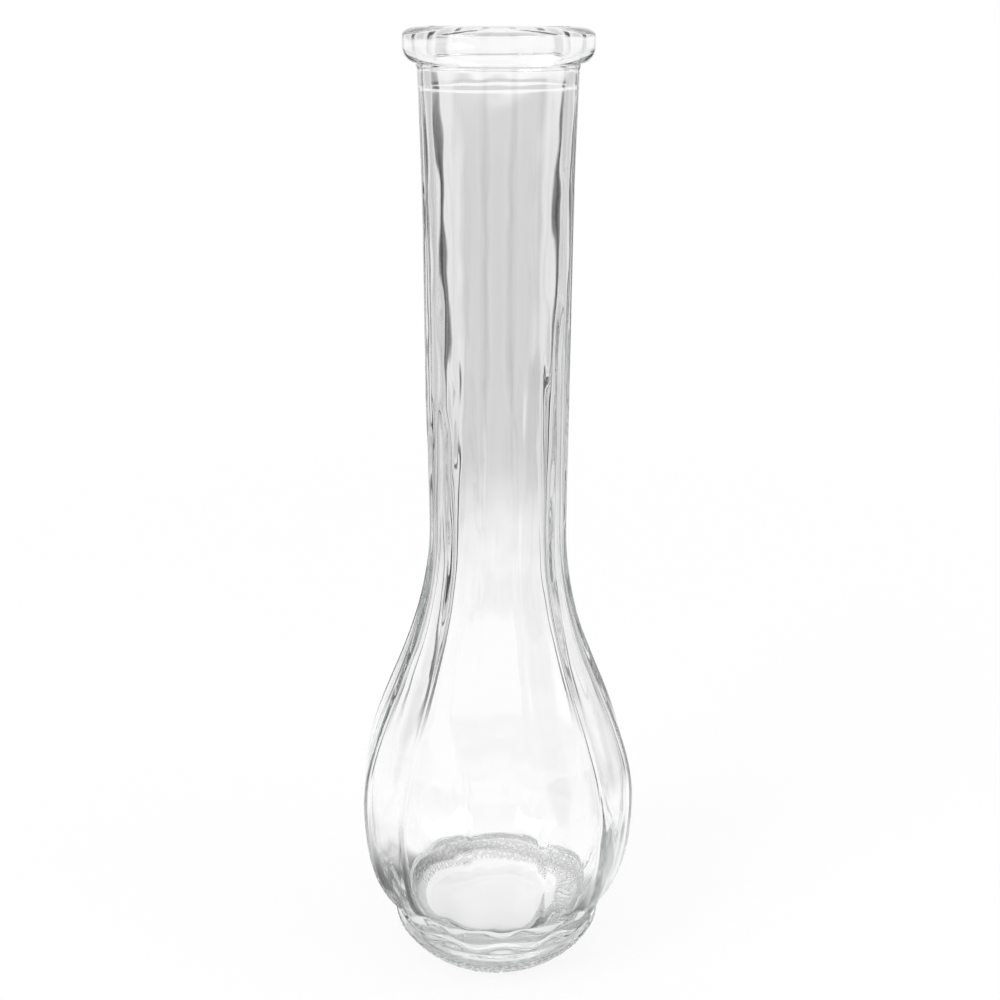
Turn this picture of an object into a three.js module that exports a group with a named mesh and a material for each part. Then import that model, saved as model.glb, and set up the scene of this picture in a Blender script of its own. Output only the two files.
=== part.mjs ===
// A moulded clear glass bud vase: a rounded foot, a bowl with shallow upright flutes, a long
// neck where the flutes run out, and a heavy bead round the mouth. The glass is one piece, held
// here as zones that meet face to face on level planes.
// Millimetres, +Z up. The vase stands on z = 0 about the z axis, with one flute facing -Y.
import * as THREE from "three";

// Foot: a rounded heel under a narrow band, a flat bearing ring and a slightly domed underside
const FOOT_DIAMETER = 51.8;
const HEEL_REACH = 6.7; // from the bearing ring out to the foot's edge
const HEEL_RISE = 7.4;
const HEEL_EASE = 1.6; // 1 rounds the heel as an ellipse, more draws it towards a slope
const FOOT_BAND = 2.7; // rise from the heel to the bowl's seat
const BEARING_WIDTH = 2;
const PUSH_UP = 0.9; // rise of the underside's middle

// Bowl and neck, with diameters measured over the ridges between the flutes
const FOOT_STEP = 1.1; // how far the foot stands out past the bowl's seat
const BOWL_DIAMETER = 68.2;
const BELLY_RISE = 31.4; // seat to the widest place
const WAIST_DIAMETER = 32.5;
const SHOULDER_RISE = 72; // widest place to the waist of the neck
const NECK_TOP_DIAMETER = 34.1;
const NECK_LENGTH = 101.3; // waist to the underside of the bead

// Bead: round below, a plain band, then a flatter round over the lip
const BEAD_OVERHANG = 3.05; // how far the bead stands out past the neck
const BEAD_UNDER_RISE = 3.4;
const BEAD_BAND = 2.1;
const BEAD_TOP_RISE = 1.7;
const LIP_ROUND = 1.5; // inner edge of the mouth

// Inside: walls are measured behind the deepest line of a flute
const FLOOR_RISE = 1.5; // floor above the bowl's seat
const FLOOR_INSET = 7.8; // edge of the flat floor, in from the seat's edge
const BOWL_WALL = 2.2;
const WAIST_WALL = 2.75;
const NECK_TOP_WALL = 2.5;

// Flutes, which start at the foot, grow shallow from the widest place to the waist and end on the neck
const FLUTE_COUNT = 12;
const SEAT_FLUTE_DEPTH = 1.2;
const BELLY_FLUTE_DEPTH = 1.3;
const WAIST_FLUTE_DEPTH = 0.5;
const FLUTE_END = 39; // above the waist

// How far each curve of the outline keeps to its end directions, as Bezier handle lengths
const SEAT_HANDLE = 9.8;
const SEAT_FLARE = THREE.MathUtils.degToRad(43); // slope of the bowl's wall where it leaves the foot
const BELLY_HANDLE = 14;
const UPPER_BELLY_HANDLE = 22.5;
const WAIST_HANDLE = 32.5;
const NECK_FLARE = 24; // last stretch of the neck, which widens towards the bead
const FLOOR_HANDLE = 10;
const FLOOR_FLARE = THREE.MathUtils.degToRad(12); // slope of the inside where it leaves the floor

// Fineness of the solids
const FLUTE_STEPS = 4; // facets across one flute
const BOWL_RINGS = 9;
const SHOULDER_RINGS = 12;
const NECK_RINGS = 11;
const ROUND_STEPS = 6;

// Levels and radii that follow from the sizes above
const SEAT_LEVEL = HEEL_RISE + FOOT_BAND;
const BELLY_LEVEL = SEAT_LEVEL + BELLY_RISE;
const WAIST_LEVEL = BELLY_LEVEL + SHOULDER_RISE;
const BEAD_LEVEL = WAIST_LEVEL + NECK_LENGTH;
const FLOOR_LEVEL = SEAT_LEVEL + FLOOR_RISE;
const FOOT_RADIUS = FOOT_DIAMETER / 2;
const SEAT_RADIUS = FOOT_RADIUS - FOOT_STEP;
const BOWL_RADIUS = BOWL_DIAMETER / 2;
const WAIST_RADIUS = WAIST_DIAMETER / 2;
const NECK_TOP_RADIUS = NECK_TOP_DIAMETER / 2;

const at = (radius, level) => new THREE.Vector2(radius, level);

// Share of the way from one level up to another, from 0 to 1.
function risen(level, from, to) {
  return THREE.MathUtils.clamp((level - from) / (to - from), 0, 1);
}

// Depth of a flute's middle line below its ridges.
function fullDepth(level) {
  const { lerp } = THREE.MathUtils;
  const onBelly = risen(level, SEAT_LEVEL, BELLY_LEVEL);
  const onShoulder = risen(level, BELLY_LEVEL, WAIST_LEVEL);
  return lerp(lerp(SEAT_FLUTE_DEPTH, BELLY_FLUTE_DEPTH, onBelly), WAIST_FLUTE_DEPTH, onShoulder);
}

// Depth of a flute's middle line below the outside: above the waist it rises to the surface.
function fluteDepth(level) {
  const ended = THREE.MathUtils.smoothstep(level, WAIST_LEVEL, WAIST_LEVEL + FLUTE_END);
  return fullDepth(level) * (1 - ended);
}

// How deep the outside is pressed in at a level and at a place across the flute, where 0 is the
// flute's middle and 1 its ridge. A flute that ends is also narrower, so it ends in an arch.
function pressedIn(level, across) {
  return Math.max(0, fluteDepth(level) - fullDepth(level) * across ** 2);
}

// The outside, over the ridges, as three curves that meet upright at the belly and the waist
const bellyCurve = new THREE.CubicBezierCurve(
  at(SEAT_RADIUS, SEAT_LEVEL),
  at(
    SEAT_RADIUS + SEAT_HANDLE * Math.cos(SEAT_FLARE),
    SEAT_LEVEL + SEAT_HANDLE * Math.sin(SEAT_FLARE),
  ),
  at(BOWL_RADIUS, BELLY_LEVEL - BELLY_HANDLE),
  at(BOWL_RADIUS, BELLY_LEVEL),
);
const shoulderCurve = new THREE.CubicBezierCurve(
  at(BOWL_RADIUS, BELLY_LEVEL),
  at(BOWL_RADIUS, BELLY_LEVEL + UPPER_BELLY_HANDLE),
  at(WAIST_RADIUS, WAIST_LEVEL - WAIST_HANDLE),
  at(WAIST_RADIUS, WAIST_LEVEL),
);
const neckCurve = new THREE.CubicBezierCurve(
  at(WAIST_RADIUS, WAIST_LEVEL),
  at(WAIST_RADIUS, BEAD_LEVEL - NECK_FLARE),
  at(WAIST_RADIUS, BEAD_LEVEL - NECK_FLARE),
  at(NECK_TOP_RADIUS, BEAD_LEVEL),
);

// The inside of the lower bowl leaves the floor at an angle and meets the belly upright
const floorRadius = SEAT_RADIUS - FLOOR_INSET;
const bellyBore = BOWL_RADIUS - fluteDepth(BELLY_LEVEL) - BOWL_WALL;
const floorCurve = new THREE.CubicBezierCurve(
  at(floorRadius, FLOOR_LEVEL),
  at(
    floorRadius + FLOOR_HANDLE * Math.cos(FLOOR_FLARE),
    FLOOR_LEVEL + FLOOR_HANDLE * Math.sin(FLOOR_FLARE),
  ),
  at(bellyBore, BELLY_LEVEL - BELLY_HANDLE),
  at(bellyBore, BELLY_LEVEL),
);

// The inside of a stretch of wall: the outside, set in by the flute and by a wall that changes
// evenly from its lower end to its upper end.
function inside(outside, lowWall, highWall) {
  const low = outside[0].y;
  const high = outside.at(-1).y;
  return outside.map((p) => {
    const wall = THREE.MathUtils.mapLinear(p.y, low, high, lowWall, highWall);
    return at(p.x - fluteDepth(p.y) - wall, p.y);
  });
}

// A quarter of an ellipse between two points. It sets off level and arrives upright, or sets off
// upright and arrives level. An ease above 1 draws it towards the straight line.
function quarterRound(from, to, startsLevel, ease = 1) {
  const points = [];
  for (let i = 0; i <= ROUND_STEPS; i++) {
    const turn = ((i / ROUND_STEPS) * Math.PI) / 2;
    const early = Math.sin(turn) ** ease;
    const late = 1 - Math.cos(turn) ** ease;
    const along = startsLevel ? early : late;
    const up = startsLevel ? late : early;
    points.push(at(from.x + (to.x - from.x) * along, from.y + (to.y - from.y) * up));
  }
  return points;
}

// Turns an outline about the z axis. It runs up the outside and down the inside, and the flutes
// are pressed into those of its points that are listed as the fluted wall.
function turned(outline, flutedWall = []) {
  const steps = FLUTE_COUNT * FLUTE_STEPS;
  const geometry = new THREE.LatheGeometry(outline, steps);
  const position = geometry.getAttribute("position");
  for (let i = 0; i <= steps; i++) {
    const share = (i % FLUTE_STEPS) / FLUTE_STEPS;
    const across = 2 * Math.min(share, 1 - share);
    outline.forEach((p, j) => {
      if (!flutedWall.includes(p)) return;
      const vertex = i * outline.length + j;
      const scale = 1 - pressedIn(p.y, across) / p.x;
      position.setX(vertex, position.getX(vertex) * scale);
      position.setZ(vertex, position.getZ(vertex) * scale);
    });
  }
  return geometry.rotateX(Math.PI / 2);
}

// A ring of fluted wall: up the outside, down the inside and back to the start.
function wallRing(outside, inner) {
  return turned([...outside, ...inner.reverse(), outside[0]], outside);
}

function footGeometry() {
  const bearing = FOOT_RADIUS - HEEL_REACH;
  const domeRadius = bearing - BEARING_WIDTH;
  const dome = [];
  for (let i = 0; i <= ROUND_STEPS; i++) {
    const out = i / ROUND_STEPS;
    dome.push(at(domeRadius * out, PUSH_UP * (1 - out ** 2)));
  }
  const heel = quarterRound(at(bearing, 0), at(FOOT_RADIUS, HEEL_RISE), true, HEEL_EASE);
  return turned([...dome, ...heel, at(SEAT_RADIUS, SEAT_LEVEL), at(0, SEAT_LEVEL)]);
}

function bowlGeometry() {
  const outside = bellyCurve.getPoints(BOWL_RINGS);
  const inner = floorCurve.getPoints(BOWL_RINGS).reverse();
  return turned([at(0, SEAT_LEVEL), ...outside, ...inner, at(0, FLOOR_LEVEL)], outside);
}

function shoulderGeometry() {
  const outside = shoulderCurve.getPoints(SHOULDER_RINGS);
  return wallRing(outside, inside(outside, BOWL_WALL, WAIST_WALL));
}

function neckGeometry() {
  const outside = neckCurve.getPoints(NECK_RINGS);
  return wallRing(outside, inside(outside, WAIST_WALL, NECK_TOP_WALL));
}

function rimBeadGeometry() {
  const mouth = NECK_TOP_RADIUS - NECK_TOP_WALL;
  const band = NECK_TOP_RADIUS + BEAD_OVERHANG;
  const bandLow = BEAD_LEVEL + BEAD_UNDER_RISE;
  const bandHigh = bandLow + BEAD_BAND;
  const crest = at(mouth + LIP_ROUND, bandHigh + BEAD_TOP_RISE);
  const under = quarterRound(at(NECK_TOP_RADIUS, BEAD_LEVEL), at(band, bandLow), true);
  const over = quarterRound(at(band, bandHigh), crest, false);
  const lip = quarterRound(crest, at(mouth, crest.y - LIP_ROUND), true).slice(1);
  return turned([...under, ...over, ...lip, at(mouth, BEAD_LEVEL), under[0]]);
}

// Clear glass, a little green where it is thick.
function clearGlass() {
  return new THREE.MeshStandardMaterial({
    color: 0xe6ebe8,
    roughness: 0.05,
    metalness: 0,
    transparent: true,
    opacity: 0.35,
  });
}

const zones = {
  foot: footGeometry(),
  bowl: bowlGeometry(),
  shoulder: shoulderGeometry(),
  neck: neckGeometry(),
  rim_bead: rimBeadGeometry(),
};

const vase = new THREE.Group();
vase.name = "bud_vase";
for (const [name, geometry] of Object.entries(zones)) {
  const zone = new THREE.Mesh(geometry, clearGlass());
  zone.name = name;
  vase.add(zone);
}

export default vase;
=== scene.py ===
"""A moulded clear glass bud vase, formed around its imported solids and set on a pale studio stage."""

import math
from typing import NamedTuple

import bpy
import numpy as np
from bpy.props import FloatProperty, FloatVectorProperty, PointerProperty
from mathutils import Euler, Matrix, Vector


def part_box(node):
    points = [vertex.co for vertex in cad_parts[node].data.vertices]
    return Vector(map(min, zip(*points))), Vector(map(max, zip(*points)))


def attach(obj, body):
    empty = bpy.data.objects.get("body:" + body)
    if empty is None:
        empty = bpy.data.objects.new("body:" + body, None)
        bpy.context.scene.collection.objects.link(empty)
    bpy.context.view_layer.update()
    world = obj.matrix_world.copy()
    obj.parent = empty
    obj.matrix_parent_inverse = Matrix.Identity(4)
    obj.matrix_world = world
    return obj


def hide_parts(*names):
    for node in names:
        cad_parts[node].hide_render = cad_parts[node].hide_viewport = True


bl_info = {
    "name": "Moulded glass bud vase",
    "version": (1, 0, 0),
    "blender": (4, 5, 0),
    "location": "View3D > Sidebar > Bud vase",
    "description": "Forms a fluted clear glass bud vase around its solids and sets it on a pale stage",
    "category": "Object",
}

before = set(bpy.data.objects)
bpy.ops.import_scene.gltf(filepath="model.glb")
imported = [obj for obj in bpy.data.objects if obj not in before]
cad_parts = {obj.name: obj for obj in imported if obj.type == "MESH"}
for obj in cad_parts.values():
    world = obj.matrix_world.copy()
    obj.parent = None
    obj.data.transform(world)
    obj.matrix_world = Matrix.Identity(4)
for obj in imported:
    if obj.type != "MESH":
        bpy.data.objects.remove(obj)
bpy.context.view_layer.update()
MM = 0.001


# Levels and radii that the solids give, in metres

# Corners that differ by less than this have the same level or radius
SAME = 0.01 * MM


def ring_corners(node):
    """Radius and level of each corner of a solid."""
    return np.array([(math.hypot(v.co.x, v.co.y), v.co.z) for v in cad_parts[node].data.vertices])


def radii_at(node, level):
    """Smallest and largest radius of a solid at one level."""
    corners = ring_corners(node)
    found = corners[np.abs(corners[:, 1] - level) < SAME, 0]
    return found.min(), found.max()


def levels_at(node, radius):
    """Lowest and highest level of a solid at one radius."""
    corners = ring_corners(node)
    found = corners[np.abs(corners[:, 0] - radius) < SAME, 1]
    return found.min(), found.max()


SEAT_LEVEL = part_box("foot")[1].z
BELLY_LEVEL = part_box("bowl")[1].z
WAIST_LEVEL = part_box("shoulder")[1].z
BEAD_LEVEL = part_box("neck")[1].z
CREST_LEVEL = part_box("rim_bead")[1].z
PUSH_UP = levels_at("foot", 0)[0]
BEARING_INNER, BEARING_RADIUS = radii_at("foot", 0)
FOOT_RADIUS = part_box("foot")[1].x
HEEL_LEVEL = levels_at("foot", FOOT_RADIUS)[0]
SEAT_RADIUS = radii_at("foot", SEAT_LEVEL)[1]
FLOOR_LEVEL = levels_at("bowl", 0)[1]
FLOOR_RADIUS = radii_at("bowl", FLOOR_LEVEL)[1]
BELLY_BORE, BOWL_RADIUS = radii_at("bowl", BELLY_LEVEL)
WAIST_BORE, WAIST_RADIUS = radii_at("neck", WAIST_LEVEL)
MOUTH_RADIUS, NECK_TOP_RADIUS = radii_at("neck", BEAD_LEVEL)
BAND_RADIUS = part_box("rim_bead")[1].x
BAND_LOW, BAND_HIGH = levels_at("rim_bead", BAND_RADIUS)
CREST_RADIUS = radii_at("rim_bead", CREST_LEVEL)[0]
LIP_LEVEL = levels_at("rim_bead", MOUTH_RADIUS)[1]


# Settings


def length(name, millimetres, description):
    """A length, with its default in millimetres."""
    return FloatProperty(name=name, description=description, default=millimetres * MM, unit="LENGTH")


def angle(name, degrees, description):
    """An angle, with its default in degrees."""
    radians = math.radians(degrees)
    return FloatProperty(name=name, description=description, default=radians, subtype="ANGLE")


def share(name, value, description):
    """A part of a whole."""
    return FloatProperty(name=name, description=description, default=value, min=0, max=1, subtype="FACTOR")


class VaseShape(bpy.types.PropertyGroup):
    """Form of the glass between the levels and radii of the solids."""

    heel_ease: FloatProperty(
        name="Heel ease",
        description="1 rounds the heel as an ellipse, more draws it towards a slope",
        default=1.6,
    )
    seat_flare: angle("Seat flare", 43, "Slope of the bowl's wall where it leaves the foot")
    seat_handle: length("Seat handle", 9.8, "How far the wall keeps to that slope")
    belly_handle: length("Belly handle", 14, "How far the wall is upright below its widest place")
    upper_handle: length("Upper belly handle", 22.5, "How far the wall is upright above its widest place")
    waist_handle: length("Waist handle", 32.5, "How far the wall is upright below the waist")
    neck_flare: length("Neck flare", 24, "Last stretch of the neck, which widens towards the bead")
    floor_flare: angle("Floor flare", 12, "Slope of the inside where it leaves the floor")
    floor_handle: length("Floor handle", 10, "How far the inside keeps to that slope")

    seat_flute_depth: length("Flute depth at the foot", 1.2, "Below the ridges, by the foot")
    belly_flute_depth: length("Flute depth on the bowl", 1.3, "Below the ridges, at the widest place")
    waist_flute_depth: length("Flute depth at the waist", 0.5, "Below the ridges, at the waist")
    flute_foot: length("Flute foot", 0.9, "Rise above the foot in which the flutes reach their depth")
    follow_low: length("Follow low", 1, "The inside starts to follow the flutes this far above the floor")
    follow_high: length("Follow high", 9, "The inside follows the flutes from this far above the floor")
    seat_softness: share("Ridge softness at the foot", 0.9, "0 keeps the ridges sharp, 1 rounds them")
    belly_softness: share("Ridge softness on the bowl", 0.3, "0 keeps the ridges sharp, 1 rounds them")
    waist_softness: share("Ridge softness at the waist", 0.6, "0 keeps the ridges sharp, 1 rounds them")
    flute_parting: length("Flute parting", 114, "Level above which the flutes draw apart")
    land_share: share("Land share", 0.25, "How much of their depth the flutes lose above their parting")
    flute_arch: length("Flute arch", 13, "Height of the arch in which each flute ends")
    flute_tops: FloatVectorProperty(
        name="Flute tops",
        description="Level of each flute's pointed end, from the front one towards +X",
        size=12,
        default=[mm * MM for mm in (148, 158, 168, 160, 152, 143, 149, 156, 150, 141, 146, 138)],
        unit="LENGTH",
    )

    grain_start: length("Grain start", 19, "Radius where the grains on the underside start")
    grain_full: length("Grain full", 20, "Radius where the grains on the underside reach their height")
    grain_top: length("Grain top", 7.6, "Height that the grains on the heel reach")
    grain_pitch: length("Grain pitch", 1.35, "Distance from grain to grain")
    grain_height: length("Grain height", 0.26, "How far a grain stands out")
    mouth_shift: length("Mouth shift", 0.15, "How far the bore is off the axis by the mouth, towards +X")
    floor_shift: length("Floor shift", -0.5, "How far the bore is off the axis by the floor, towards +X")
    seam_height: length("Seam height", 0.12, "How far the seams of the mould stand out")
    seam_width: length("Seam width", 0.5, "Half the width of a seam")
    ring_drop: length("Neck ring drop", 4.6, "From the bead down to the line of the neck ring")
    ring_height: length("Neck ring height", 0.04, "How far the line of the neck ring stands out")
    flash_height: length("Flash height", 0.2, "How far the flash under the bead stands out")
    slow_unevenness: length("Slow unevenness", 0.08, "Drift of the blown inside from the round")
    finish_unevenness: length("Finish unevenness", 0.01, "Dents of the inside close to the mouth")
    fine_unevenness: length("Fine unevenness", 0.025, "Ripples of the blown inside")


class VaseGlass(bpy.types.PropertyGroup):
    """Finish of the glass."""

    tint: FloatVectorProperty(
        name="Tint",
        description="Colour that thick glass takes on",
        default=(0.890, 0.905, 0.896),
        subtype="COLOR",
        min=0,
        max=1,
    )
    tint_density: FloatProperty(
        name="Tint density", description="Strength of the tint per metre", default=32, min=0
    )
    smear_roughness: share("Smear roughness", 0.025, "Roughness of the faint smears")
    smear_shade: share("Smear shade", 0.004, "How much the faint smears darken what passes")
    heel_roughness: share("Heel roughness", 0.18, "Roughness of the grained heel")
    # The heel's specks darken the glass's colour as painted shade, for how its grains catch the light
    speck_painted_shade: share("Speck strength", 0.45, "How much the specks of the heel darken what passes")
    speck_depth: length("Speck depth", 0.2, "Depth of the hollows between the specks")
    ripple: length("Ripple", 0.02, "Height of the faint ripple of the skin")
    refraction: FloatProperty(
        name="Index of refraction", description="Soda-lime glass", default=1.52, min=1
    )


class VaseStage(bpy.types.PropertyGroup):
    """Camera, floor and light."""

    camera_azimuth: angle("Camera azimuth", -3.5, "Round from the front flute")
    camera_distance: length("Camera distance", 300, "From the vase's axis")
    camera_height: length("Camera height", 226, "Above the floor")
    camera_tilt: angle("Camera tilt", 19.82, "Downward tilt")
    camera_turn: angle("Camera turn", 0.11, "Turn to the right")
    camera_roll: angle("Camera roll", 0.2, "Lean of the camera")
    camera_lens: FloatProperty(
        name="Focal length", description="In millimetres, on a full-frame sensor", default=49.36
    )
    floor_paint: share("Floor paint", 0.9, "Brightness of the floor's paint")
    floor_glow: share("Floor glow", 0.88, "How plain the floor by the foot is: 1 shows no shadow")
    glow_start: length("Glow start", 120, "The floor's shadow starts to fade here")
    glow_end: length("Glow end", 600, "The floor shows no shadow from here")
    # Painted shadow of the vase: the shades round and beside the foot darken only the floor's glow that
    # the glass shows
    foot_shadow_grey: share("Foot grey", 0.15, "Shade of the floor close round the foot as the glass shows it")
    clear_radius: length("Clear radius", 22.5, "The floor under the foot is white out to here")
    shade_radius: length("Shade radius", 25, "The shade round the foot is full from here")
    shade_right: length("Shade to the right", -16, "Middle of the shade round the foot, towards +X")
    shade_back: length("Shade to the back", -27, "Middle of the shade round the foot, towards +Y")
    fade_start: length("Fade start", 41, "The shade round the foot starts to fade here")
    fade_end: length("Fade end", 65, "The shade round the foot ends here")
    side_right: length("Side shade to the right", -60, "Middle of the shade beside the foot, towards +X")
    side_back: length("Side shade to the back", -5, "Middle of the shade beside the foot, towards +Y")
    side_start: length("Side fade start", 28, "The shade beside the foot starts to fade here")
    side_end: length("Side fade end", 50, "The shade beside the foot ends here")
    side_strength: share("Side shade strength", 0.35, "How much of its light the floor loses there")
    far_grey: share("Far grey", 0.66, "Shade of the floor's far part as the glass shows it")
    near_start: length("Near start", 200, "The floor is white out to here as the glass shows it")
    near_end: length("Near end", 420, "The floor has its far shade from here")
    far_start: length("Far start", 2600, "The far shade starts to fade here")
    far_end: length("Far end", 4800, "The far shade ends here")
    far_gap_share: share("Far gap share", 0.5, "How much of the far shade is left between its crests")
    grey_core: share("Grey core", 0.7, "Where the far shade is full, on the wave round the vase")
    grey_edge: share("Grey edge", 0, "Where the far shade has sunk to its gap, on that wave")
    flag_core: share("Flag core", 0.92, "Where each flag is full, as a share of its wave")
    flag_edge: share("Flag edge", 0.6, "Where each flag ends, as a share of its wave")
    flag_start: length("Flag start", 112, "The flags start to darken the floor here")
    flag_full: length("Flag full", 170, "The flags darken the floor fully from here")
    flag_strength: share("Flag strength", 0.97, "How much the flags darken the floor that the glass shows")
    flag_fade_start: length("Flag fade start", 1500, "The flags start to fade on the floor here")
    flag_fade_end: length("Flag fade end", 4000, "The flags have faded on the floor here")
    flag_far_share: share("Flag far share", 0.2, "How much of the flags is left beyond that")
    sky_flag_strength: share("Sky flag strength", 0.25, "How much the flags darken the sky")
    sky_flag_low: share("Sky flag low", 0.02, "The flags start to fade here, as the sine of their height")
    sky_flag_top: share("Sky flag top", 0.4, "How high the flags reach, as the sine of their height")
    sky_light: share("Sky light", 0.8, "Brightness of the sky as a light on the floor")


# Outline of the glass

SEGMENTS = 192
FOOT_SPLIT = 3
CURVE_STEPS = 200
SEAT_RISE = 3 * MM
SEAT_ROUNDS = 10
COLLAR_SHARE = 1.5

# Steps from ring to ring along each stretch of the outline
STEPS = {
    "underside": 6,
    "bearing": 6,
    "heel": 34,
    "band": 8,
    "seat": 11,
    "bowl": 31,
    "shoulder": 51,
    "neck": 55,
    "collar": 29,
    "under bead": 12,
    "bead side": 5,
    "bead top": 14,
    "lip": 8,
    "mouth": 5,
    "neck bore": 43,
    "shoulder bore": 43,
    "basin": 36,
    "floor": 12,
}


def bezier(start, lean, settle, end, count):
    """Points along a cubic Bezier curve, both ends included."""
    t = np.linspace(0, 1, count + 1)[:, None]
    start, lean, settle, end = map(np.array, (start, lean, settle, end))
    early = (1 - t) ** 3 * start + 3 * (1 - t) ** 2 * t * lean
    return early + 3 * (1 - t) * t**2 * settle + t**3 * end


def quarter_round(start, end, starts_level, count, ease=1):
    """A quarter of an ellipse that sets off level and arrives upright, or the other way round."""
    turn = np.linspace(0, math.pi / 2, count + 1)
    early = np.sin(turn) ** ease
    late = 1 - np.abs(np.cos(turn)) ** ease
    along, up = (early, late) if starts_level else (late, early)
    return np.stack([start[0] + (end[0] - start[0]) * along, start[1] + (end[1] - start[1]) * up], axis=1)


def straight(start, end, count):
    """Points along a straight line, or levels from one to another, both ends included."""
    return np.linspace(start, end, count + 1)


def eased(points, rounds):
    """The points with the corners between them rounded, and both ends kept."""
    for _ in range(rounds):
        between = (points[:-2] + 2 * points[1:-1] + points[2:]) / 4
        points = np.concatenate([points[:1], between, points[-1:]])
    return points


def smooth(value, low, high):
    """0 below low, 1 above high and an even ease between them."""
    t = np.clip((value - low) / (high - low), 0, 1)
    return t * t * (3 - 2 * t)


def wall_at(shape, levels):
    """Points of the outside, over the ridges, at the given levels."""
    seat_run = shape.seat_handle * math.cos(shape.seat_flare)
    seat_rise = shape.seat_handle * math.sin(shape.seat_flare)
    curves = [
        bezier(
            (SEAT_RADIUS, SEAT_LEVEL),
            (SEAT_RADIUS + seat_run, SEAT_LEVEL + seat_rise),
            (BOWL_RADIUS, BELLY_LEVEL - shape.belly_handle),
            (BOWL_RADIUS, BELLY_LEVEL),
            CURVE_STEPS,
        ),
        bezier(
            (BOWL_RADIUS, BELLY_LEVEL),
            (BOWL_RADIUS, BELLY_LEVEL + shape.upper_handle),
            (WAIST_RADIUS, WAIST_LEVEL - shape.waist_handle),
            (WAIST_RADIUS, WAIST_LEVEL),
            CURVE_STEPS,
        ),
        bezier(
            (WAIST_RADIUS, WAIST_LEVEL),
            (WAIST_RADIUS, BEAD_LEVEL - shape.neck_flare),
            (WAIST_RADIUS, BEAD_LEVEL - shape.neck_flare),
            (NECK_TOP_RADIUS, BEAD_LEVEL),
            CURVE_STEPS,
        ),
    ]
    dense = np.concatenate(curves)
    return np.stack([np.interp(levels, dense[:, 1], dense[:, 0]), levels], axis=1)


def bore_at(shape, levels):
    """Points of the inside, behind the deepest line of the flutes, at the given levels."""
    points = wall_at(shape, levels)
    walls = [BOWL_RADIUS - BELLY_BORE, WAIST_RADIUS - WAIST_BORE, NECK_TOP_RADIUS - MOUTH_RADIUS]
    points[:, 0] -= np.interp(levels, [BELLY_LEVEL, WAIST_LEVEL, BEAD_LEVEL], walls)
    return points


def glass_outline(shape):
    """The glass cut through its axis, as named stretches: out along the underside, up the outside
    and down the inside to the middle of the floor."""
    out = straight(0, 1, STEPS["underside"])
    dome = np.stack([BEARING_INNER * out, PUSH_UP * (1 - out**2)], axis=1)
    bearing = straight((BEARING_INNER, 0), (BEARING_RADIUS, 0), STEPS["bearing"])
    foot_side = (FOOT_RADIUS, HEEL_LEVEL)
    heel = quarter_round((BEARING_RADIUS, 0), foot_side, True, STEPS["heel"], shape.heel_ease)
    band = quarter_round(foot_side, (SEAT_RADIUS, SEAT_LEVEL), False, STEPS["band"])
    seat_top = SEAT_LEVEL + SEAT_RISE
    seat = wall_at(shape, straight(SEAT_LEVEL, seat_top, STEPS["seat"]))
    seat = eased(np.concatenate([band, seat[1:]]), SEAT_ROUNDS)
    collar = BEAD_LEVEL - COLLAR_SHARE * shape.ring_drop
    side_low, side_high = (BAND_RADIUS, BAND_LOW), (BAND_RADIUS, BAND_HIGH)
    crest = (CREST_RADIUS, CREST_LEVEL)
    lip = (MOUTH_RADIUS, LIP_LEVEL)
    floor_run = shape.floor_handle * math.cos(shape.floor_flare)
    floor_rise = shape.floor_handle * math.sin(shape.floor_flare)
    basin = bezier(
        (BELLY_BORE, BELLY_LEVEL),
        (BELLY_BORE, BELLY_LEVEL - shape.belly_handle),
        (FLOOR_RADIUS + floor_run, FLOOR_LEVEL + floor_rise),
        (FLOOR_RADIUS, FLOOR_LEVEL),
        STEPS["basin"],
    )
    return [
        ("underside", dome),
        ("bearing", bearing),
        ("heel", heel),
        ("band", seat[: len(band)]),
        ("wall", seat[len(band) - 1 :]),
        ("wall", wall_at(shape, straight(seat_top, BELLY_LEVEL, STEPS["bowl"]))),
        ("wall", wall_at(shape, straight(BELLY_LEVEL, WAIST_LEVEL, STEPS["shoulder"]))),
        ("wall", wall_at(shape, straight(WAIST_LEVEL, collar, STEPS["neck"]))),
        ("collar", wall_at(shape, straight(collar, BEAD_LEVEL, STEPS["collar"]))),
        ("bead", quarter_round((NECK_TOP_RADIUS, BEAD_LEVEL), side_low, True, STEPS["under bead"])),
        ("bead", straight(side_low, side_high, STEPS["bead side"])),
        ("bead", quarter_round(side_high, crest, False, STEPS["bead top"])),
        ("bead", quarter_round(crest, lip, True, STEPS["lip"])),
        ("bore", straight(lip, (MOUTH_RADIUS, BEAD_LEVEL), STEPS["mouth"])),
        ("bore", bore_at(shape, straight(BEAD_LEVEL, WAIST_LEVEL, STEPS["neck bore"]))),
        ("bore", bore_at(shape, straight(WAIST_LEVEL, BELLY_LEVEL, STEPS["shoulder bore"]))),
        ("bore", basin),
        ("floor", straight((FLOOR_RADIUS, FLOOR_LEVEL), (0, FLOOR_LEVEL), STEPS["floor"])),
    ]


# Relief of the glass, as heights out of its surface

FLUTE_DIP = 0.2 * MM
FLUTE_EDGE = 0.05 * MM
RING_SWAY = 0.25 * MM
RING_SWAY_TURN = 0.6
LINE_WIDTH = 0.3 * MM
FLASH_DROP = 0.5 * MM
FLASH_LEAST = 0.55
FOLLOW_FLOOR = 0.05
FOLLOW_WALL = 0.95
FOLLOW_NECK = 0.5
FOLLOW_FADE = 30 * MM
FINISH_START = 50 * MM
FINISH_FULL = 30 * MM
CALM_RISE = 8 * MM
GRAIN_MARGIN = 0.2
GRAIN_JITTER = 0.6
GRAIN_SPREAD = 0.09
GRAIN_LEAST = 0.5
GRAIN_EDGE_SWAY = 0.4 * MM
GRAIN_EDGE_FADE = 0.8 * MM
SCATTER = (12.9898, 78.233, 43758.5453)

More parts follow.
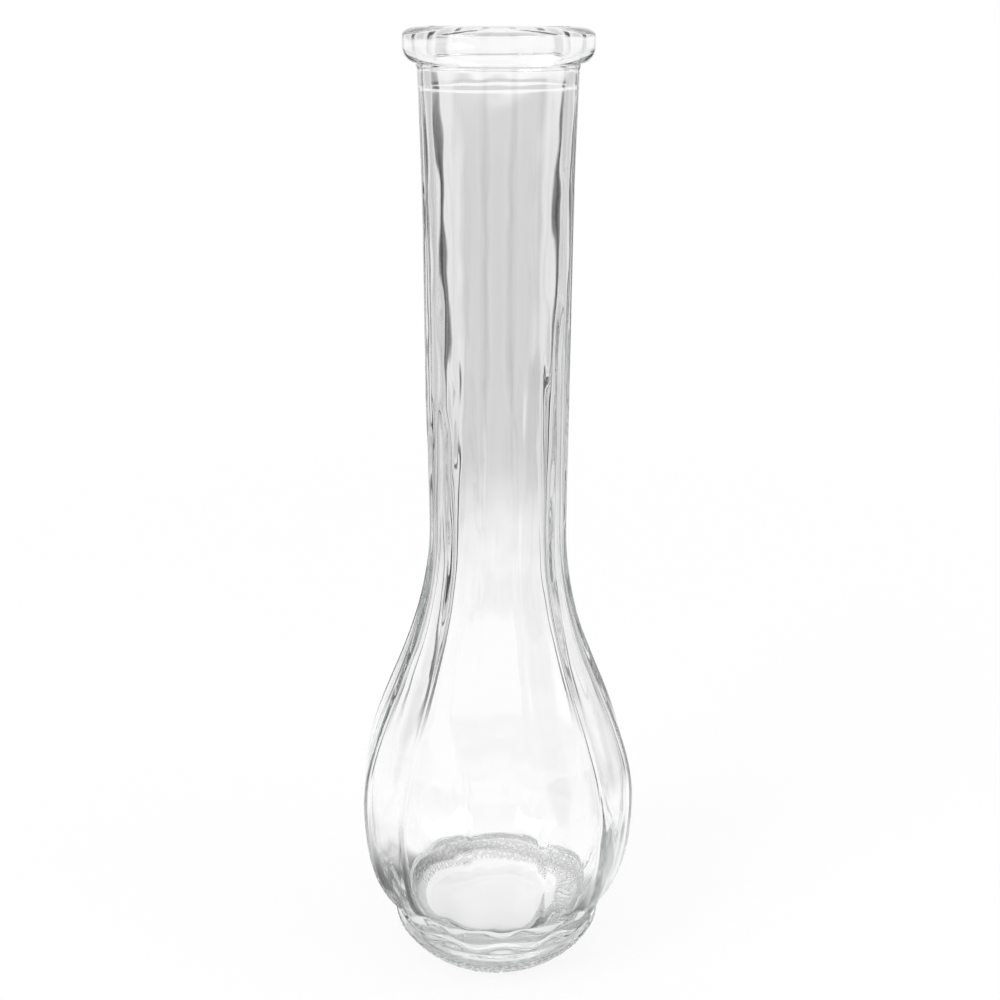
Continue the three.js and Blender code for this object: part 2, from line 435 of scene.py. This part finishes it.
# Turns and climbs of the waves in an unevenness, and the radius where its waves have their length
WAVES = ((0.7, 0.8), (1.0, -1.0), (1.3, 0.5), (0.4, 1.3), (1.6, -0.3))
WAVE_RADIUS = 16 * MM
WAVE_ROUND_UP = 0.6

# Wave length and seed of each unevenness
OUTSIDE_WAVE = (14 * MM, 2.0)
OUTSIDE_SHARE = 0.4
SLOW_WAVE = (55 * MM, 1.0)
FINE_WAVE = (11 * MM, 4.0)
FINISH_WAVE = (9 * MM, 6.0)
BEAD_WAVE = (12 * MM, 3.0)
GRAIN_EDGE_WAVE = (25 * MM, 5.0)


class Spot(NamedTuple):
    """Where corners lie on the plain turned glass."""

    radius: np.ndarray
    level: np.ndarray
    azimuth: np.ndarray
    along: np.ndarray


def flutes(shape, spot):
    """Depth of the flutes' middle lines, and how deep the outside is pressed in."""
    count = len(shape.flute_tops)
    turn = spot.azimuth / (2 * math.pi) * count
    number = np.round(turn).astype(int)
    across = np.abs(turn - number) * 2
    softness = np.interp(
        spot.level,
        [SEAT_LEVEL, BELLY_LEVEL, WAIST_LEVEL],
        [shape.seat_softness, shape.belly_softness, shape.waist_softness],
    )
    rise = across**2 + softness * (np.sin(across * math.pi / 2) ** 2 - across**2)
    depth = np.interp(
        spot.level,
        [SEAT_LEVEL, BELLY_LEVEL, WAIST_LEVEL],
        [shape.seat_flute_depth, shape.belly_flute_depth, shape.waist_flute_depth],
    )
    tops = np.array(shape.flute_tops)[number % count]
    depth = depth * smooth(spot.level, SEAT_LEVEL - FLUTE_DIP, SEAT_LEVEL + shape.flute_foot)
    parted = 1 - shape.land_share * smooth(spot.level, shape.flute_parting, tops - shape.flute_arch)
    middle = depth * parted * (1 - smooth(spot.level, tops - shape.flute_arch, tops))
    pressed = middle - depth * rise
    return middle, (pressed + np.sqrt(pressed**2 + FLUTE_EDGE**2)) / 2


def uneven(spot, wavelength, seed):
    """A smooth unevenness, mostly between -1 and 1, that closes round the vase."""
    climb = 2 * math.pi * spot.level / wavelength
    around = 2 * math.pi * WAVE_RADIUS / wavelength
    total = 0
    for i, (turns, climbs) in enumerate(WAVES):
        whole_turns = round(turns * around + WAVE_ROUND_UP)
        total = total + np.sin(whole_turns * spot.azimuth + climbs * climb + seed * (i + 1))
    return total / (len(WAVES) / 2)


def wall_relief(shape, spot):
    """Flutes, the seams that the mould leaves at both sides, and a trace of unevenness."""
    seam = np.exp(-((spot.radius * np.cos(spot.azimuth) / shape.seam_width) ** 2))
    ripples = OUTSIDE_SHARE * shape.fine_unevenness * uneven(spot, *OUTSIDE_WAVE)
    return shape.seam_height * seam - flutes(shape, spot)[1] + ripples


def raised_line(spot, level):
    """1 on a level line round the vase, and 0 away from it."""
    return np.exp(-(((spot.level - level) / LINE_WIDTH) ** 2))


def collar_relief(shape, spot):
    """Line of the neck ring, and the flash under the bead, which is higher at both sides."""
    sway = RING_SWAY * np.sin(spot.azimuth + RING_SWAY_TURN)
    ring = shape.ring_height * raised_line(spot, BEAD_LEVEL - shape.ring_drop + sway)
    flash = shape.flash_height * raised_line(spot, BEAD_LEVEL - FLASH_DROP)
    flash = flash * (FLASH_LEAST + (1 - FLASH_LEAST) * np.sin(spot.azimuth) ** 2)
    return wall_relief(shape, spot) + ring + flash


def bore_relief(shape, spot):
    """The blown inside, which follows the flutes where the wall is thin, and is a little uneven."""
    middle, pressed = flutes(shape, spot)
    low, high = FLOOR_LEVEL + shape.follow_low, FLOOR_LEVEL + shape.follow_high
    follow = np.interp(
        spot.level,
        [low, high, WAIST_LEVEL, WAIST_LEVEL + FOLLOW_FADE],
        [FOLLOW_FLOOR, FOLLOW_WALL, FOLLOW_WALL, FOLLOW_NECK],
    )
    finish = smooth(spot.level, BEAD_LEVEL - FINISH_START, BEAD_LEVEL - FINISH_FULL)
    drift = shape.slow_unevenness * uneven(spot, *SLOW_WAVE)
    drift = drift + shape.fine_unevenness * uneven(spot, *FINE_WAVE)
    drift = drift + shape.finish_unevenness * finish * uneven(spot, *FINISH_WAVE)
    calm = smooth(spot.level, FLOOR_LEVEL, FLOOR_LEVEL + CALM_RISE)
    calm = calm * (1 - smooth(spot.level, BEAD_LEVEL, LIP_LEVEL))
    return drift * calm - follow * (middle - pressed)


def bead_relief(shape, spot):
    """A trace of unevenness."""
    return shape.fine_unevenness * uneven(spot, *BEAD_WAVE)


def lucky(i, j, seed):
    """A number from 0 to 1 that looks random, for a place on a grid."""
    across, along, stretch = SCATTER
    wild = np.sin(i * across + j * along + seed) * stretch
    return wild - np.floor(wild)


def heel_relief(shape, spot):
    """Round grains, on a jittered grid, on the bearing ring and the lower heel."""
    columns = round(2 * math.pi * FOOT_RADIUS / shape.grain_pitch)
    u = spot.azimuth / (2 * math.pi) * columns
    v = spot.along / shape.grain_pitch
    grains = np.zeros(np.broadcast(u, v).shape)
    for row in (-1, 0, 1):
        for column in (-1, 0, 1):
            i, j = np.floor(u) + column, np.floor(v) + row
            du = u - i - GRAIN_MARGIN - GRAIN_JITTER * lucky(i % columns, j, 0)
            dv = v - j - GRAIN_MARGIN - GRAIN_JITTER * lucky(i % columns, j, 1)
            size = GRAIN_LEAST + (1 - GRAIN_LEAST) * lucky(i % columns, j, 2)
            grains = np.maximum(grains, np.exp(-(du**2 + dv**2) / GRAIN_SPREAD) * size)
    edge = shape.grain_top + GRAIN_EDGE_SWAY * uneven(spot, *GRAIN_EDGE_WAVE)
    reach = 1 - smooth(spot.level, edge - GRAIN_EDGE_FADE, edge)
    reach = reach * smooth(spot.radius, shape.grain_start, shape.grain_full)
    return shape.grain_height * (grains - 1) * reach


RELIEFS = {
    "bearing": heel_relief,
    "heel": heel_relief,
    "wall": wall_relief,
    "collar": collar_relief,
    "bead": bead_relief,
    "bore": bore_relief,
}


def turned(shape, outline, names, segments):
    """Corners of the outline turned about the axis, with their relief, one row for each ring."""
    azimuth = np.arange(segments) * 2 * math.pi / segments
    along = np.concatenate([[0], np.cumsum(np.linalg.norm(np.diff(outline, axis=0), axis=1))])
    run = np.gradient(outline, axis=0)
    run /= np.linalg.norm(run, axis=1, keepdims=True)
    height = np.zeros((len(outline), segments))
    for name, relief in RELIEFS.items():
        rows = names == name
        spot = Spot(outline[rows, :1], outline[rows, 1:], azimuth, along[rows, None])
        height[rows] = relief(shape, spot)
    radius = outline[:, :1] + height * run[:, 1:]
    level = outline[:, 1:] - height * run[:, :1]
    marks = [FLOOR_LEVEL, BELLY_LEVEL, WAIST_LEVEL, BEAD_LEVEL, LIP_LEVEL]
    lean = np.interp(outline[:, 1:], marks, [shape.floor_shift, 0, 0, shape.mouth_shift, 0])
    inside = np.isin(names, ["bore", "floor"])[:, None]
    return np.stack([radius * np.sin(azimuth) + lean * inside, -radius * np.cos(azimuth), level], axis=2)


def strips(index):
    """Faces between neighbouring rings of corners."""
    after = np.roll(index, -1, axis=1)
    return np.stack([index[:-1], after[:-1], after[1:], index[1:]], axis=2).reshape(-1, 4).tolist()


def glass_mesh(shape):
    """The glass as one closed skin. The rings of the foot have more corners, for its grains."""
    stretches = glass_outline(shape)
    outline = np.concatenate([points[i > 0 :] for i, (name, points) in enumerate(stretches)])
    names = np.concatenate([[name] * len(points[i > 0 :]) for i, (name, points) in enumerate(stretches)])
    foot = np.isin(names, ["underside", "bearing", "heel"])
    low = turned(shape, outline, names, FOOT_SPLIT * SEGMENTS)[foot][1:]
    high = turned(shape, outline, names, SEGMENTS)[~foot][:-1]
    floor_middle = (shape.floor_shift, 0, FLOOR_LEVEL)
    corners = np.concatenate([[(0, 0, PUSH_UP)], low.reshape(-1, 3), high.reshape(-1, 3), [floor_middle]])
    low_index = 1 + np.arange(low.shape[0] * low.shape[1]).reshape(low.shape[:2])
    high_index = low_index.max() + 1 + np.arange(high.shape[0] * high.shape[1]).reshape(high.shape[:2])
    faces = strips(low_index) + strips(high_index)
    heel, band = low_index[-1], high_index[0]
    for j in range(SEGMENTS):
        fan = [heel[(FOOT_SPLIT * j + k) % len(heel)] for k in range(FOOT_SPLIT + 1)]
        here, after = band[j], band[(j + 1) % SEGMENTS]
        faces += [[fan[0], fan[1], here], [fan[1], after, here]]
        faces += [[a, b, after] for a, b in zip(fan[1:], fan[2:])]
    faces += [[0, b, a] for a, b in zip(low_index[0], np.roll(low_index[0], -1))]
    faces += [[a, b, len(corners) - 1] for a, b in zip(high_index[-1], np.roll(high_index[-1], -1))]
    mesh = bpy.data.meshes.new("vase_glass")
    mesh.from_pydata(corners.tolist(), [], [[int(i) for i in face] for face in faces])
    mesh.shade_smooth()
    if mesh.validate():
        raise RuntimeError("the glass mesh has faults")
    return mesh


class FormGlass(bpy.types.Operator):
    """Form the vase as one unbroken body of glass"""

    bl_idname = "vase.form_glass"
    bl_label = "Form the glass"

    def execute(self, context):
        mesh = glass_mesh(context.scene.vase_shape)
        mesh.materials.append(clear_glass(context.scene.vase_glass, context.scene.vase_shape))
        piece = bpy.data.objects.new("vase_glass", mesh)
        context.scene.collection.objects.link(piece)
        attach(piece, "root")
        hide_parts("foot", "bowl", "shoulder", "neck", "rim_bead")
        return {"FINISHED"}


# Material

HEEL_FADE = 1 * MM
SMEAR_SCALE = 60
SMEAR_DETAIL = 4
RIPPLE_SCALE = 140
RIPPLE_DETAIL = 1
SPECKS_PER_GRAIN = 1.2

# Where the specks and the smears start and are full, on their patterns
SPECK_EDGE = (0.2, 0.6)
ROUGH_SMEAR_EDGE = (0.45, 0.7)
DARK_SMEAR_EDGE = (0.3, 0.8)


class Wire:
    """A socket of a node tree that can be used in sums."""

    def __init__(self, tree, socket=None):
        self.tree = tree
        self.socket = socket

    @classmethod
    def new(cls, owner):
        """The start of an emptied node tree."""
        owner.use_nodes = True
        owner.node_tree.nodes.clear()
        return cls(owner.node_tree)

    def node(self, kind, settings=None, inputs=None, output=0):
        """Add a node, with its settings set first, and give one of its outputs."""
        made = self.tree.nodes.new(kind)
        for name, value in (settings or {}).items():
            setattr(made, name, value)
        for name, value in (inputs or {}).items():
            if isinstance(value, Wire):
                self.tree.links.new(value.socket, made.inputs[name])
            else:
                made.inputs[name].default_value = value
        return Wire(self.tree, made.outputs[output]) if len(made.outputs) else None

    def _math(self, operation, first, second):
        return self.node("ShaderNodeMath", {"operation": operation}, {0: first, 1: second})

    def __add__(self, other):
        return self._math("ADD", self, other)

    __radd__ = __add__

    def __sub__(self, other):
        return self._math("SUBTRACT", self, other)

    def __rsub__(self, other):
        return self._math("SUBTRACT", other, self)

    def __mul__(self, other):
        return self._math("MULTIPLY", self, other)

    __rmul__ = __mul__

    def ramp(self, low, high, at_low, at_high):
        """An even ease from one value to another."""
        ends = {"From Min": low, "From Max": high, "To Min": at_low, "To Max": at_high}
        settings = {"interpolation_type": "SMOOTHSTEP"}
        return self.node("ShaderNodeMapRange", settings, {"Value": self, **ends})

    def part(self, axis):
        """One part of a vector."""
        return self.node("ShaderNodeSeparateXYZ", {}, {0: self}, output=axis)

    def distance(self, spot):
        """How far this place is from a spot."""
        ends = {0: self, 1: spot}
        return self.node("ShaderNodeVectorMath", {"operation": "DISTANCE"}, ends, output="Value")

    def noise(self, scale, detail):
        """A cloudy noise over this place."""
        return self.node("ShaderNodeTexNoise", {}, {"Vector": self, "Scale": scale, "Detail": detail})

    def grey(self):
        """A grey of this brightness."""
        return self.node("ShaderNodeCombineColor", {}, {0: self, 1: self, 2: self})


def clear_glass(finish, shape):
    """Clear glass with a faint tint and smears, and a rougher, speckled heel whose specks also carry
    painted shade.
    """
    material = bpy.data.materials.new("clear_glass")
    start = Wire.new(material)
    place = start.node("ShaderNodeTexCoord", output="Object")
    level = place.part("Z")
    flat = start.node("ShaderNodeVectorMath", {"operation": "MULTIPLY"}, {0: place, 1: (1, 1, 0)})
    reach = flat.distance((0, 0, 0))
    heel = level.ramp(shape.grain_top - HEEL_FADE, shape.grain_top + HEEL_FADE, 1, 0)
    heel = heel * reach.ramp(shape.grain_start, shape.grain_full, 0, 1)
    smears = place.noise(SMEAR_SCALE, SMEAR_DETAIL)
    ripple = place.noise(RIPPLE_SCALE, RIPPLE_DETAIL)
    speck_scale = SPECKS_PER_GRAIN / shape.grain_pitch
    grains = start.node("ShaderNodeTexVoronoi", {}, {"Vector": place, "Scale": speck_scale})
    specks = heel * grains.ramp(*SPECK_EDGE, 0, 1)
    rough_smears = smears.ramp(*ROUGH_SMEAR_EDGE, 0, finish.smear_roughness)
    dark_smears = smears.ramp(*DARK_SMEAR_EDGE, 0, finish.smear_shade)
    roughness = rough_smears + heel * finish.heel_roughness
    # Painted shade: the heel's specks darken what passes, for how the grains catch the light; the smears
    # are real marks
    colour = (1 - dark_smears) * (1 - finish.speck_painted_shade * specks)
    height = finish.ripple * ripple - finish.speck_depth * specks
    skin = start.node("ShaderNodeBump", {}, {"Distance": 1.0, "Height": height})
    glass = start.node(
        "ShaderNodeBsdfPrincipled",
        {},
        {
            "Base Color": colour.grey(),
            "Roughness": roughness,
            "IOR": finish.refraction,
            "Transmission Weight": 1.0,
            "Normal": skin,
        },
    )
    tint = start.node(
        "ShaderNodeVolumeAbsorption", {}, {"Color": (*finish.tint, 1), "Density": finish.tint_density}
    )
    start.node("ShaderNodeOutputMaterial", {}, {"Surface": glass, "Volume": tint})
    return material


# Stage

LIGHT_BOUNCES = 32
SENSOR_WIDTH = 36
FLOOR_HALF = 40
FLAGS = 8


class Lamp(NamedTuple):
    """A square lamp that faces the foot of the vase, in metres and watts."""

    name: str
    place: tuple
    size: float
    power: float


LAMPS = (
    Lamp("key", (-0.7, -0.5, 0.9), 0.5, 5.0),
    Lamp("fill", (0.8, -0.3, 0.7), 0.6, 2.5),
)


class SetStage(bpy.types.Operator):
    """Lay the floor and set up the light and the camera"""

    bl_idname = "vase.set_stage"
    bl_label = "Set the stage"

    def execute(self, context):
        stage = context.scene.vase_stage
        place_camera(context.scene, stage)
        lay_floor(context.scene, stage)
        light_studio(context.scene, stage)
        context.scene.view_settings.view_transform = "Standard"
        for limit in ("max_bounces", "glossy_bounces", "transmission_bounces"):
            setattr(context.scene.cycles, limit, LIGHT_BOUNCES)
        return {"FINISHED"}


def place_camera(scene, stage):
    """The camera, close to the vase and above it."""
    data = bpy.data.cameras.new("camera")
    data.lens = stage.camera_lens
    data.sensor_width = SENSOR_WIDTH
    camera = bpy.data.objects.new("camera", data)
    scene.collection.objects.link(camera)
    aim = Euler((math.pi / 2 - stage.camera_tilt, 0, -stage.camera_turn)).to_matrix().to_4x4()
    spot = Matrix.Translation((0, -stage.camera_distance, stage.camera_height))
    around = Matrix.Rotation(stage.camera_azimuth, 4, "Z")
    camera.matrix_world = around @ spot @ aim @ Matrix.Rotation(stage.camera_roll, 4, "Z")
    scene.camera = camera


def seen_in_glass(start):
    """1 for a ray that comes from the glass, reflected or let through."""
    glossy = start.node("ShaderNodeLightPath", output="Is Glossy Ray")
    through = start.node("ShaderNodeLightPath", output="Is Transmission Ray")
    return start.node("ShaderNodeMath", {"operation": "MAXIMUM"}, {0: glossy, 1: through})


def round_wave(way, stage):
    """A wave with a crest for each flag, the first of them straight behind the vase in the main view."""
    turn = way.node("ShaderNodeMath", {"operation": "ARCTAN2"}, {0: way.part("X"), 1: way.part("Y")})
    return way.node("ShaderNodeMath", {"operation": "COSINE"}, {0: (turn + stage.camera_azimuth) * FLAGS})


def dark_flags(way, stage):
    """Soft dark flags round the vase, halfway between the crests: 1 in each, 0 away from them."""
    return round_wave(way, stage).ramp(-stage.flag_core, -stage.flag_edge, 1, 0)


def floor_shade(place, stage):
    """Shade of the floor as the glass shows it: a grey far part, dark flags and painted shadows of the
    vase round and beside the foot.
    """
    reach = place.distance((0, 0, 0))
    near = reach.ramp(stage.near_start, stage.near_end, 1, 0)
    far = reach.ramp(stage.far_start, stage.far_end, 0, 1)
    crests = round_wave(place, stage).ramp(stage.grey_edge, stage.grey_core, stage.far_gap_share, 1)
    grey = 1 - (1 - stage.far_grey) * ((1 - near) * (1 - far) * crests)
    dark = dark_flags(place, stage) * reach.ramp(stage.flag_start, stage.flag_full, 0, stage.flag_strength)
    dark = dark * reach.ramp(stage.flag_fade_start, stage.flag_fade_end, 1, stage.flag_far_share)
    # Painted shadow of the vase: one round the foot, shifted to the front left, and one beside it on the
    # left
    under = reach.ramp(stage.clear_radius, stage.shade_radius, 1, 0)
    front = place.distance((stage.shade_right, stage.shade_back, 0))
    front = front.ramp(stage.fade_start, stage.fade_end, 0, 1)
    side = place.distance((stage.side_right, stage.side_back, 0))
    side = side.ramp(stage.side_start, stage.side_end, 1, 0)
    clear = under + (1 - under) * front * (1 - stage.side_strength * side)
    contact = stage.foot_shadow_grey + (1 - stage.foot_shadow_grey) * clear
    return contact * grey * (1 - dark)


def pale_floor(stage):
    """A white floor that takes a faint shadow, and has its shades, with a painted shadow of the vase, only
    in what the glass shows.
    """
    material = bpy.data.materials.new("pale_floor")
    start = Wire.new(material)
    camera_ray = start.node("ShaderNodeLightPath", output="Is Camera Ray")
    glass_ray = seen_in_glass(start)
    place = start.node("ShaderNodeNewGeometry", output="Position")
    # The glow that the glass shows carries the painted shades and the painted shadow of the vase
    shade = 1 - glass_ray * (1 - floor_shade(place, stage))
    white = stage.floor_paint
    paint = start.node("ShaderNodeBsdfDiffuse", {}, {"Color": (white, white, white, 1)})
    glow = start.node("ShaderNodeEmission", {}, {"Color": shade.grey(), "Strength": 1.0})
    clear = place.distance((0, 0, 0)).ramp(stage.glow_start, stage.glow_end, stage.floor_glow, 1)
    lit = glass_ray + camera_ray * clear
    mixed = start.node("ShaderNodeMixShader", {}, {0: lit, 1: paint, 2: glow})
    start.node("ShaderNodeOutputMaterial", {}, {"Surface": mixed})
    return material


def lay_floor(scene, stage):
    """The floor that the vase stands on."""
    sides = ((-1, -1), (1, -1), (1, 1), (-1, 1))
    corners = [(FLOOR_HALF * x, FLOOR_HALF * y, 0) for x, y in sides]
    mesh = bpy.data.meshes.new("floor")
    mesh.from_pydata(corners, [], [(0, 1, 2, 3)])
    mesh.materials.append(pale_floor(stage))
    floor = bpy.data.objects.new("floor", mesh)
    scene.collection.objects.link(floor)


def light_studio(scene, stage):
    """A white surround, with dark flags in what the glass shows of it, and two lamps."""
    world = bpy.data.worlds.new("studio")
    scene.world = world
    start = Wire.new(world)
    camera_ray = start.node("ShaderNodeLightPath", output="Is Camera Ray")
    glass_ray = seen_in_glass(start)
    way = start.node("ShaderNodeTexCoord", output="Generated")
    fade = way.part("Z").ramp(stage.sky_flag_low, stage.sky_flag_top, stage.sky_flag_strength, 0)
    dark = dark_flags(way, stage) * fade
    shown = glass_ray * (1 - dark) + (1 - glass_ray) * stage.sky_light
    level = camera_ray + (1 - camera_ray) * shown
    glow = start.node("ShaderNodeBackground", {}, {"Color": level.grey(), "Strength": 1.0})
    start.node("ShaderNodeOutputWorld", {}, {"Surface": glow})
    for lamp in LAMPS:
        light = bpy.data.lights.new(lamp.name, "AREA")
        light.energy = lamp.power
        light.size = lamp.size
        holder = bpy.data.objects.new(lamp.name, light)
        scene.collection.objects.link(holder)
        holder.location = lamp.place
        holder.rotation_euler = (-holder.location).to_track_quat("-Z", "Y").to_euler()


class VasePanel(bpy.types.Panel):
    """Lists the vase's settings in the sidebar."""

    bl_idname = "VIEW3D_PT_bud_vase"
    bl_label = "Bud vase"
    bl_space_type = "VIEW_3D"
    bl_region_type = "UI"
    bl_category = "Bud vase"

    def draw(self, context):
        scene = context.scene
        for operator, groups in (
            (FormGlass, (scene.vase_shape, scene.vase_glass)),
            (SetStage, (scene.vase_stage,)),
        ):
            box = self.layout.box()
            box.operator(operator.bl_idname)
            for settings in groups:
                for name in settings.__annotations__:
                    box.prop(settings, name)


CLASSES = (VaseShape, VaseGlass, VaseStage, FormGlass, SetStage, VasePanel)


def register():
    for cls in CLASSES:
        bpy.utils.register_class(cls)
    bpy.types.Scene.vase_shape = PointerProperty(type=VaseShape)
    bpy.types.Scene.vase_glass = PointerProperty(type=VaseGlass)
    bpy.types.Scene.vase_stage = PointerProperty(type=VaseStage)


def unregister():
    del bpy.types.Scene.vase_shape
    del bpy.types.Scene.vase_glass
    del bpy.types.Scene.vase_stage
    for cls in reversed(CLASSES):
        bpy.utils.unregister_class(cls)


def main():
    register()
    bpy.ops.vase.set_stage()
    bpy.ops.vase.form_glass()


if __name__ == "__main__":
    main()
